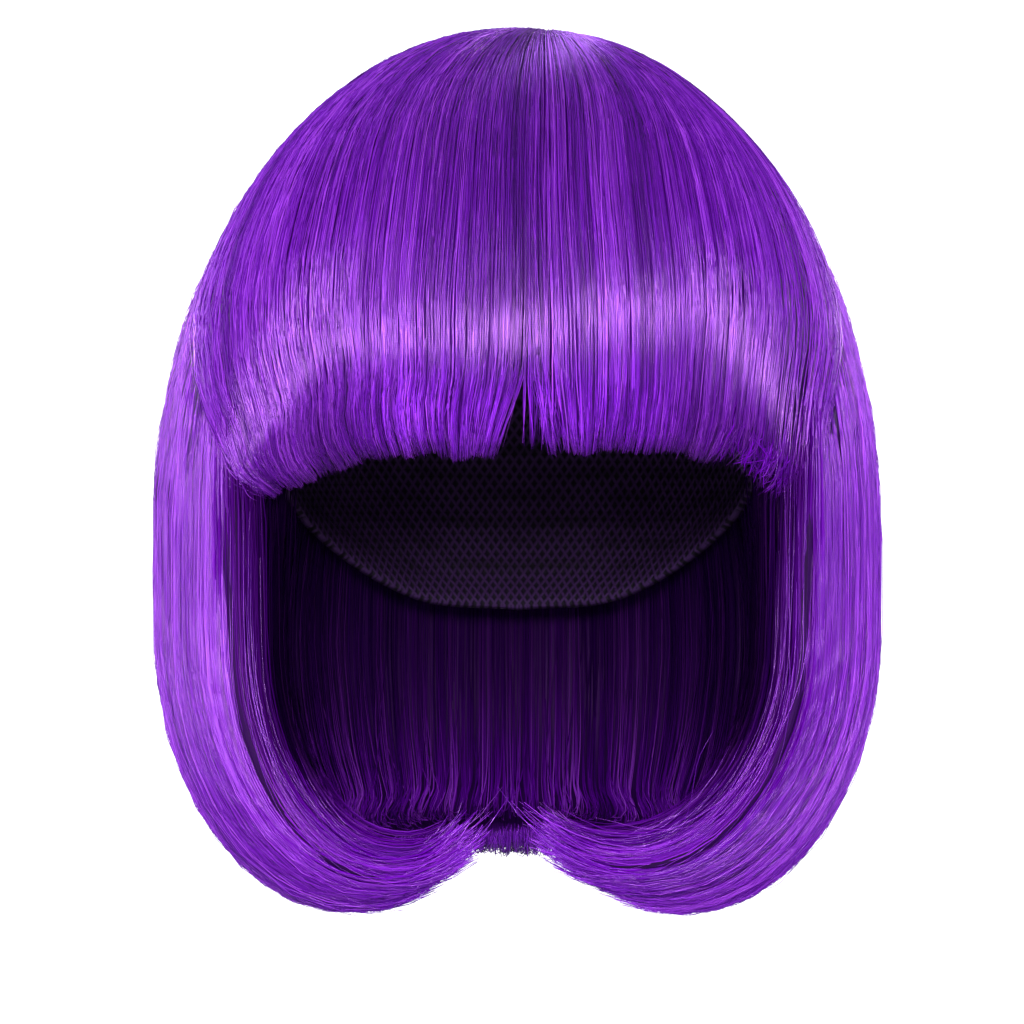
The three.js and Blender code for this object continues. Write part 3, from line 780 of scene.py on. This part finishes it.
def net_material():
    """The cap's net: a fine mesh of dark thread, darker along its sewn rows."""
    colours = bpy.context.scene.wig_colours
    made, tree, shader = new_material("cap_net")
    place = node(tree, "ShaderNodeUVMap", (-1700, 0), uv_map="hair")
    threads = []
    for k, turn in enumerate((0.6, -0.6)):
        lay = node(tree, "ShaderNodeMapping", (-1500, -300 * k))
        set_inputs(lay, {"Scale": (170, 70, 1), "Rotation": (0, 0, turn)})
        wave = node(tree, "ShaderNodeTexWave", (-1300, -300 * k))
        set_inputs(wave, {"Scale": 0.35, "Distortion": 0.4})
        tree.links.new(place.outputs["UV"], lay.inputs["Vector"])
        tree.links.new(lay.outputs["Vector"], wave.inputs["Vector"])
        threads.append(wave.outputs["Fac"])
    weave = node(tree, "ShaderNodeMath", (-1050, 0), operation="MAXIMUM")
    tree.links.new(threads[0], weave.inputs[0])
    tree.links.new(threads[1], weave.inputs[1])
    bump = node(tree, "ShaderNodeBump", (-350, -250))
    set_inputs(bump, {"Strength": 0.7, "Distance": 0.0005})
    tree.links.new(weave.outputs["Value"], bump.inputs["Height"])
    tree.links.new(bump.outputs["Normal"], shader.inputs["Normal"])
    stops = ((0.45, times(colours.net, 0.25)), (0.95, times(colours.net, 1.6)))
    shaded_ramp(tree, weave.outputs["Value"], stops)
    set_inputs(shader, {"Roughness": 0.75, "Specular IOR Level": 0.2})
    return made


def fibre():
    return material("hair_fibre", fibre_material, "hair_fibre", 1.0, 0.26)


# A shaded copy of the fibre, without gloss: painted shade for strands inside the hair and at the right temple
def shaded_fibre():
    return material("hair_inside", fibre_material, "hair_inside", 0.0, 0.5)


def material(name, maker, *values):
    """A material by name, made the first time it is wanted."""
    return bpy.data.materials.get(name) or maker(*values)


def finish_piece(piece, finish, slot, *nodes):
    piece.data.materials.clear()
    piece.data.materials.append(finish)
    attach(piece, "root")
    if nodes:
        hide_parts(*nodes)


def hair_piece(name, parts, finish):
    finish_piece(mesh_object(name, join_arrays(parts)), finish, "hair")


def style_of(count, **changes):
    style = {
        "steps": 14,
        "ragged": 2.0 * MM,
        "shorter": np.zeros(count),
        "parted": np.ones(count),
        "pinch": 0.3,
        "pinch_from": 0.3,
        "clump_sway": 0.3,
        "lift": -0.9 * MM,
        "clump_lift": 0.3 * MM,
        "bow": 0.25 * MM,
        "swell": 0.5 * MM,
        "sink": 1.1 * MM,
        "rough": 0.08 * MM,
        "sway": 0.5 * MM,
        "stray": 0.09,
        "fray": 0.5 * MM,
        "fray_from": 0.8,
        "edge_turn": 0.0,
        "edge_dark": 0.0,
        "radius": bpy.context.scene.wig_strands.fibre,
        "tip": 0.35,
        "inner_shade": 0.12,
        "end_shade": 1.0,
        "tip_shade": 1.0,
        "gap": 0.45,
        "clump_tone": 0.24,
    }
    style.update(changes)
    return style


class WIG_OT_fringe(bpy.types.Operator):
    """Lay the fringe's strands over its mass of hair"""

    bl_idname = "wig.fringe"
    bl_label = "Fringe"

    def execute(self, context):
        count = context.scene.wig_strands.fringe_count
        size = context.scene.wig_sizes

        def short(at):
            slit = np.interp(at, (0.470, 0.495, 0.530, 0.546), (0, 1.15, 1.15, 0))
            return size.slit_length * slit + 4.5 * MM + 5 * MM * soft_step(at, 0.86, 0.96)

        mass = shell("fringe_mass", FRINGE, 0.0, 1.0, 160, 44, FRINGE_INSET, short)
        finish_piece(mass, material("hair_mass", mass_material), "hair", "fringe")
        parts = []
        for seed, steps, share, part in ((11, 16, 0.45, 0.5), (12, 10, 0.97, 0.5)):
            rng = np.random.default_rng(seed)
            some = int(count * part)
            at = spread_places(rng, some, -0.008, 1.008)
            first = start_stages(rng, some, share)
            if share > 0.5:
                first = np.clip(first, 0.25, 0.88)
            depth = rng.uniform(0, 1, some) ** 3 * 0.5
            temple = soft_step(at, 0.82, 0.9)
            aside = soft_step(np.abs(2 * at - 1), 0.26, 0.5)
            veil = (np.abs(at - 0.524) < 0.016) & (rng.uniform(0, 1, some) < 0.4)
            style = style_of(
                some,
                steps=steps,
                lift=-0.4 * MM,
                ragged=2.2 * MM,
                fray=0.5 * MM,
                sway=0.6 * MM,
                tip=0.2,
                # Painted light and shade of the lower fringe: lighter in the middle, darker at the sides and
                # darker still at the right temple
                end_shade=(blend(1.7, 0.8, aside) - 0.5 * soft_step(at, 0.74, 0.9))[:, None],
                parted=np.where(veil, 0.1, 1.0),
                shorter=np.where(veil, 1.5 * MM, -0.8 * MM) + temple * rng.uniform(0, 13, some) * MM
                + soft_step(at, 0.76, 0.88) * rng.uniform(8, 22, some) * MM,
            )
            hanging = {**FRINGE, "lay": fringe_fall}
            parts.append(strand_set(hanging, seed, at, first, depth, style))
        hair_piece("fringe_strands", parts, fibre())
        return {"FINISHED"}


class WIG_OT_sides(bpy.types.Operator):
    """Lay the strands of both side curtains over their mass of hair"""

    bl_idname = "wig.sides"
    bl_label = "Side hair"

    def execute(self, context):
        count = context.scene.wig_strands.side_count
        for name, section, seed in (("left", LEFT, 21), ("right", RIGHT, 31)):
            low, high = (0.04, 1.0) if name == "left" else (0.0, 0.96)
            mass = shell(f"side_{name}_mass", section, low, high, 90, 60, CURTAIN_INSET, even(9 * MM))
            finish_piece(mass, material("hair_mass", mass_material), "hair", f"side_hair_{name}")
            hanging = {**section, "lay": falling(section["lay"])}
            parts = []
            for k, (steps, share, part) in enumerate(((20, 0.45, 0.45), (16, 1.0, 0.46), (10, 0.97, 0.12))):
                rng = np.random.default_rng(seed + k)
                some = int(count * part)
                at = spread_places(rng, some, *((-0.012, 0.11) if k == 2 else (0.05, 1.0)))
                if name == "right":
                    at = 1 - at
                first = start_stages(rng, some, share)
                if k > 0:
                    first = np.clip(first, 0.45, 0.97)
                first = np.maximum(first, under_fringe(hanging["lay"](at, 1.0 + 0 * at)))
                edge = section["free_edge"](at)
                depth = rng.uniform(0, 1, some) ** 2 * 0.4 * soft_step(edge, 0.08, 0.25)
                shorter = np.zeros(some)
                if k == 2:
                    first = rng.uniform(1.45, 1.7, some)
                    depth = rng.uniform(0, 0.5, some)
                    shorter = -rng.exponential(3, some) * MM
                style = style_of(
                    some,
                    steps=steps,
                    ragged=3.5 * MM,
                    shorter=shorter,
                    pinch_from=1.2,
                    pinch=0.2,
                    bow=0.45 * MM,
                    gap=0.6,
                    clump_tone=0.34,
                    # Painted light on the curl ends
                    tip_shade=1.4,
                    sway=0.8 * MM,
                    fray=1.2 * MM + 1.5 * MM * soft_step(edge, 0.2, 0.08)[:, None],
                    edge_turn=6 * MM,
                    edge_dark=0.3 if k < 2 else 0.1,
                )
                parts.append(strand_set(hanging, seed + k, at, first, depth, style))
            hair_piece(f"side_{name}_strands", parts, fibre())
        return {"FINISHED"}


class WIG_OT_back(bpy.types.Operator):
    """Lay the back hair's strands over its mass of hair"""

    bl_idname = "wig.back"
    bl_label = "Back hair"

    def execute(self, context):
        count = context.scene.wig_strands.back_count
        mass = shell("back_mass", BACK, 0.0, 1.0, 120, 60, CURTAIN_INSET, even(14 * MM))
        finish_piece(mass, material("hair_mass", mass_material), "hair", "back_hair")
        parts = []
        for k, (steps, share, part) in enumerate(((20, 0.45, 0.5), (16, 1.0, 0.5))):
            rng = np.random.default_rng(41 + k)
            some = int(count * part)
            at = spread_places(rng, some)
            first = start_stages(rng, some, share)
            if k > 0:
                first = np.clip(first, 0.45, 0.97)
            depth = rng.uniform(0, 1, some) ** 3 * 0.4
            style = style_of(
                some,
                steps=steps,
                ragged=7 * MM,
                pinch=0.4,
                pinch_from=1.2,
                bow=0.6 * MM,
                gap=0.6,
                clump_tone=0.34,
                sway=0.8 * MM,
                fray=1.4 * MM,
            )
            parts.append(strand_set(BACK, 41 + k, at, first, depth, style))
        hair_piece("back_strands", parts, fibre())
        return {"FINISHED"}


class WIG_OT_inside(bpy.types.Operator):
    """Hang the strands that show at the face edges and on the inside of the curtains, drawn dark and without
    gloss as painted shade
    """

    bl_idname = "wig.inside"
    bl_label = "Inside hair"

    def execute(self, context):
        count = context.scene.wig_strands.inner_count
        parts = []
        rows = (
            (51, LEFT, 0.17, 0.01, 0.99, 0.9),
            (52, RIGHT, 0.17, 0.01, 0.99, 0.9),
            (53, BACK, 0.32, 0.01, 0.99, 0.9),
            (54, LEFT, 0.17, -0.005, 0.09, 0.0),
            (55, RIGHT, 0.17, 0.91, 1.005, 0.0),
            (56, FRINGE, 0.22, 0.78, 1.0, 0.0),
        )
        for seed, section, share, low, high, shallow in rows:
            rng = np.random.default_rng(seed)
            some = int(count * share)
            at = spread_places(rng, some, low, high)
            first = rng.uniform(0.9, 1.12, some)
            depth = rng.uniform(shallow, 1.03, some) if shallow else rng.uniform(0, 1, some) ** 3
            style = style_of(
                some,
                steps=8 if section is FRINGE else 15,
                ragged=6 * MM,
                pinch=0.6,
                pinch_from=1.2,
                sway=1.2 * MM,
                rough=0.5 * MM,
                sink=0,
                fray=1.5 * MM,
                edge_turn=6 * MM,
                edge_dark=0.8,
                shorter=np.full(some, 2 * MM),
                radius=0.2 * MM,
            )
            lay = fringe_fall if section is FRINGE else falling(section["lay"])
            parts.append(strand_set({**section, "lay": lay}, seed, at, first, depth, style))
        hair_piece("inside_strands", parts, shaded_fibre())
        return {"FINISHED"}


class WIG_OT_fine(bpy.types.Operator):
    """Lay thin single strands over the rest, a little out of line with it"""

    bl_idname = "wig.fine"
    bl_label = "Fine strands"

    def execute(self, context):
        count = context.scene.wig_strands.fine_count
        parts = []
        rows = ((71, FRINGE, 0.4), (72, LEFT, 0.22), (73, RIGHT, 0.22), (74, BACK, 0.16))
        for seed, section, share in rows:
            rng = np.random.default_rng(seed)
            some = int(count * share)
            at = spread_places(rng, some, 0.01, 0.99)
            hanging = {**section, "lay": fringe_fall}
            if section is not FRINGE:
                hanging = {**section, "lay": falling(section["lay"])}
                at = np.where(section["free_edge"](at) < 0.1, 0.5, at)
            first = start_stages(rng, some, 1.0)
            if section in (LEFT, RIGHT):
                first = np.maximum(first, under_fringe(hanging["lay"](at, 1.0 + 0 * at)))
            style = style_of(
                some,
                steps=12,
                lift=rng.uniform(-0.5, 0.0, some)[:, None] * MM,
                sway=1.6 * MM,
                pinch=0.0,
                fray=1.2 * MM,
                ragged=3 * MM,
                # Painted shade: the fine strands are darker low in the fringe
                end_shade=0.65 if section is FRINGE else 1.0,
                radius=0.09 * MM,
            )
            parts.append(strand_set(hanging, seed, at, first, np.zeros(some), style))
        hair_piece("fine_strands", parts, fibre())
        return {"FINISHED"}


class WIG_OT_loose(bpy.types.Operator):
    """Let a few stray hairs fly off the face edges and the fringe"""

    bl_idname = "wig.loose"
    bl_label = "Stray hairs"

    def execute(self, context):
        count = context.scene.wig_strands.loose_count
        parts = []
        rows = (
            (61, LEFT, 0.3, -0.02, 0.03, 0.97, 1.6),
            (62, RIGHT, 0.3, 0.97, 1.02, 0.97, 1.6),
            (63, FRINGE, 0.16, 0.0, 0.12, 0.8, 1.3),
            (64, FRINGE, 0.16, 0.86, 1.0, 0.8, 1.3),
        )
        for seed, section, share, low, high, top, last in rows:
            rng = np.random.default_rng(seed)
            some = int(count * share)
            at = spread_places(rng, some, low, high)
            first = rng.uniform(top, last, some)
            below = 2.0 - first
            style = style_of(
                some,
                steps=16,
                sway=2.5 * MM,
                rough=1.0 * MM,
                sink=0,
                fray=5 * MM,
                fray_from=0.15,
                shorter=rng.uniform(0, 60, some) * MM * below,
                radius=0.07 * MM,
            )
            hanging = {**section, "lay": falling(section["lay"])} if section is not FRINGE else FRINGE
            parts.append(strand_set(hanging, seed, at, first, rng.uniform(0, 0.5, some), style))
        hair_piece("stray_hairs", parts, fibre())
        return {"FINISHED"}


class WIG_OT_cap(bpy.types.Operator):
    """Make the net cap, with its sewn rows and its band"""

    bl_idname = "wig.cap"
    bl_label = "Cap"

    def execute(self, context):
        columns, rows = 90, 76
        direction = np.arange(columns)[:, None] * 360 / columns + np.zeros((1, rows))
        edge = np.arccos(along(CAP_EDGE, "at", "height", np.abs(from_face(direction))))
        turn = edge * np.linspace(0.012, 1, rows)[None, :]
        down = turn * HEAD[2]
        band = soft_step(edge * HEAD[2] - down, BAND_HEIGHT + 1.2 * MM, BAND_HEIGHT)
        seam = np.abs((down / ROW_SPACING) % 1 - 0.5) * 2
        sewn = np.clip(1 - seam / 0.3, 0, 1) * (1 - band) * soft_step(down, 12 * MM, 16 * MM)
        outside = head_point(direction, turn, CAP_WALL)
        inside = head_point(direction, turn, -0.8 * MM * band - 0.5 * MM * np.sqrt(sewn))
        count = columns * rows
        index = np.arange(count).reshape(columns, rows)
        after = np.roll(index, -1, axis=0)
        face = np.stack([index[:, :-1], index[:, 1:], after[:, 1:], after[:, :-1]], -1).reshape(-1, 4)
        hem = np.stack([index[:, -1], index[:, -1] + count, after[:, -1] + count, after[:, -1]], -1)
        top = 2 * count
        crown = np.stack([index[:, 0], after[:, 0], np.full(columns, top)], -1)
        crown_inside = np.stack([after[:, 0] + count, index[:, 0] + count, np.full(columns, top + 1)], -1)
        ends = np.array([[0, 0, HEAD[2] + CAP_WALL], [0, 0, HEAD[2]]])
        tone = np.concatenate([np.tile(direction.ravel() / 360, 2), [0, 0]])
        run = np.concatenate([np.tile((down / 0.2).ravel(), 2), [0, 0]])
        shade = np.concatenate([np.ones(count), (1 - 0.5 * np.sqrt(sewn)).ravel(), [1, 1]])
        whole = {
            "points": np.concatenate([outside.reshape(-1, 3), inside.reshape(-1, 3), ends]),
            "quads": np.concatenate([face, face[:, ::-1] + count, hem]),
            "triangles": np.concatenate([crown, crown_inside]),
            "tone": tone,
            "shade": shade,
            "run": run,
        }
        finish_piece(mesh_object("cap_net", whole), material("cap_net", net_material), "net", "cap")
        return {"FINISHED"}


CAMERA_AWAY = 3.2
CAMERA_AIM = Vector((-0.0018, 0, -0.030))
VIEW_WIDTH = 0.3057
SENSOR = 36

# How strongly the world lights the wig, and how bright it is where it is seen
WORLD_LIGHT = 0.15
WORLD_SEEN = 0.97

# Each light's place, aim, width and height, watts and colour
WHITE = (1.0, 1.0, 1.0)
PALE_VIOLET = (0.9, 0.72, 1.0)
MIDDLE = (0, 0, 0)
LIGHTS = {
    "key_left": ((-2.5, -1.1, 0.9), MIDDLE, (0.7, 1.7), 69, WHITE),
    "key_right": ((2.5, -1.1, 0.9), MIDDLE, (0.7, 1.7), 62, WHITE),
    "key_front": ((0, -3.7, 0.85), MIDDLE, (1.0, 0.9), 192, WHITE),
    "rim_left": ((-2.2, 1.9, 0.9), MIDDLE, (0.6, 1.4), 63, PALE_VIOLET),
    "rim_right": ((2.2, 1.9, 0.9), MIDDLE, (0.6, 1.4), 66, PALE_VIOLET),
    "crown_light": ((-0.9, 2.1, 1.65), (0, 0, 0.05), (1.1, 1.5), 60, (0.6, 0.32, 1.0)),
    "backdrop_light": ((0, 3.2, 1.6), (0, 6.0, 0.2), (3.0, 1.0), 130, WHITE),
}


def area_light(name, place, aim, size, power, colour):
    light = bpy.data.lights.new(name, "AREA")
    light.shape = "RECTANGLE"
    light.size, light.size_y = size
    light.energy = power
    light.color = colour
    lamp = bpy.data.objects.new(name, light)
    lamp.location = place
    lamp.rotation_euler = (Vector(aim) - Vector(place)).to_track_quat("-Z", "Y").to_euler()
    bpy.context.scene.collection.objects.link(lamp)


def paper_material():
    made, _, shader = new_material("studio_paper")
    set_inputs(shader, {
        "Base Color": (0.6, 0.6, 0.6, 1),
        "Roughness": 0.9,
        "Emission Color": (1, 1, 1, 1),
        "Emission Strength": 0.3,
    })
    return made


class WIG_OT_stage(bpy.types.Operator):
    """Set up the camera, the pale sweep and the lights"""

    bl_idname = "wig.stage"
    bl_label = "Studio"

    def execute(self, context):
        scene = context.scene
        camera = bpy.data.cameras.new("camera")
        camera.sensor_width = SENSOR
        camera.lens = SENSOR * CAMERA_AWAY / VIEW_WIDTH
        camera.clip_end = 60
        eye = bpy.data.objects.new("camera", camera)
        eye.location = CAMERA_AIM + Vector((0, -CAMERA_AWAY, 0.03))
        eye.rotation_euler = (CAMERA_AIM - eye.location).to_track_quat("-Z", "Y").to_euler()
        scene.collection.objects.link(eye)
        scene.camera = eye

        steps = 24
        radius = 1.5
        floor_z = -0.32
        back = 4.5
        profile = [(-2.6, floor_z), (0.0, floor_z)]
        for k in range(steps + 1):
            turn = math.radians(90 * k / steps)
            rise = radius * (1 - math.cos(turn))
            profile.append((back + radius * math.sin(turn), floor_z + rise))
        profile.append((back + radius, 5.0))
        mesh = bpy.data.meshes.new("studio_sweep")
        points = [(x, y, z) for y, z in profile for x in (-2.3, 2.3)]
        faces = [(2 * i, 2 * i + 1, 2 * i + 3, 2 * i + 2) for i in range(len(profile) - 1)]
        mesh.from_pydata(points, [], faces)
        mesh.polygons.foreach_set("use_smooth", [True] * len(mesh.polygons))
        sweep = bpy.data.objects.new("studio_sweep", mesh)
        sweep.data.materials.append(paper_material())
        sweep.visible_glossy = False
        scene.collection.objects.link(sweep)

        for name, light in LIGHTS.items():
            area_light(name, *light)

        world = bpy.data.worlds.new("studio_world")
        world.use_nodes = True
        tree = world.node_tree
        glow = tree.nodes["Background"]
        glow.inputs["Color"].default_value = (1, 1, 1, 1)
        seen = node(tree, "ShaderNodeLightPath", (-600, 200))
        strength = node(tree, "ShaderNodeMapRange", (-350, 0))
        set_inputs(strength, {"To Min": WORLD_LIGHT, "To Max": WORLD_SEEN})
        tree.links.new(seen.outputs["Is Camera Ray"], strength.inputs["Value"])
        tree.links.new(strength.outputs["Result"], glow.inputs["Strength"])
        scene.world = world
        scene.view_settings.view_transform = "Standard"
        return {"FINISHED"}


class WIG_PT_panel(bpy.types.Panel):
    """Sizes, colours and steps of the wig"""

    bl_label = "Bob wig"
    bl_idname = "WIG_PT_panel"
    bl_space_type = "VIEW_3D"
    bl_region_type = "UI"
    bl_category = "Wig"

    def draw(self, context):
        layout = self.layout
        for group in (context.scene.wig_sizes, context.scene.wig_strands, context.scene.wig_colours):
            for key in group.__annotations__:
                layout.prop(group, key)
        for operator in OPERATORS:
            layout.operator(operator.bl_idname)


OPERATORS = (
    WIG_OT_stage,
    WIG_OT_fringe,
    WIG_OT_sides,
    WIG_OT_back,
    WIG_OT_inside,
    WIG_OT_fine,
    WIG_OT_loose,
    WIG_OT_cap,
)
GROUPS = (WigSizes, WigStrands, WigColours)


def register():
    for kind in (*GROUPS, *OPERATORS, WIG_PT_panel):
        bpy.utils.register_class(kind)
    bpy.types.Scene.wig_sizes = bpy.props.PointerProperty(type=WigSizes)
    bpy.types.Scene.wig_strands = bpy.props.PointerProperty(type=WigStrands)
    bpy.types.Scene.wig_colours = bpy.props.PointerProperty(type=WigColours)


def unregister():
    del bpy.types.Scene.wig_sizes
    del bpy.types.Scene.wig_strands
    del bpy.types.Scene.wig_colours
    for kind in (WIG_PT_panel, *reversed(OPERATORS), *reversed(GROUPS)):
        bpy.utils.unregister_class(kind)


def main():
    register()
    bpy.ops.object.select_all(action="DESELECT")
    bpy.ops.wig.stage()
    bpy.ops.wig.fringe()
    bpy.ops.wig.sides()
    bpy.ops.wig.back()
    bpy.ops.wig.inside()
    bpy.ops.wig.fine()
    bpy.ops.wig.loose()
    bpy.ops.wig.cap()


if __name__ == "__main__":
    main()
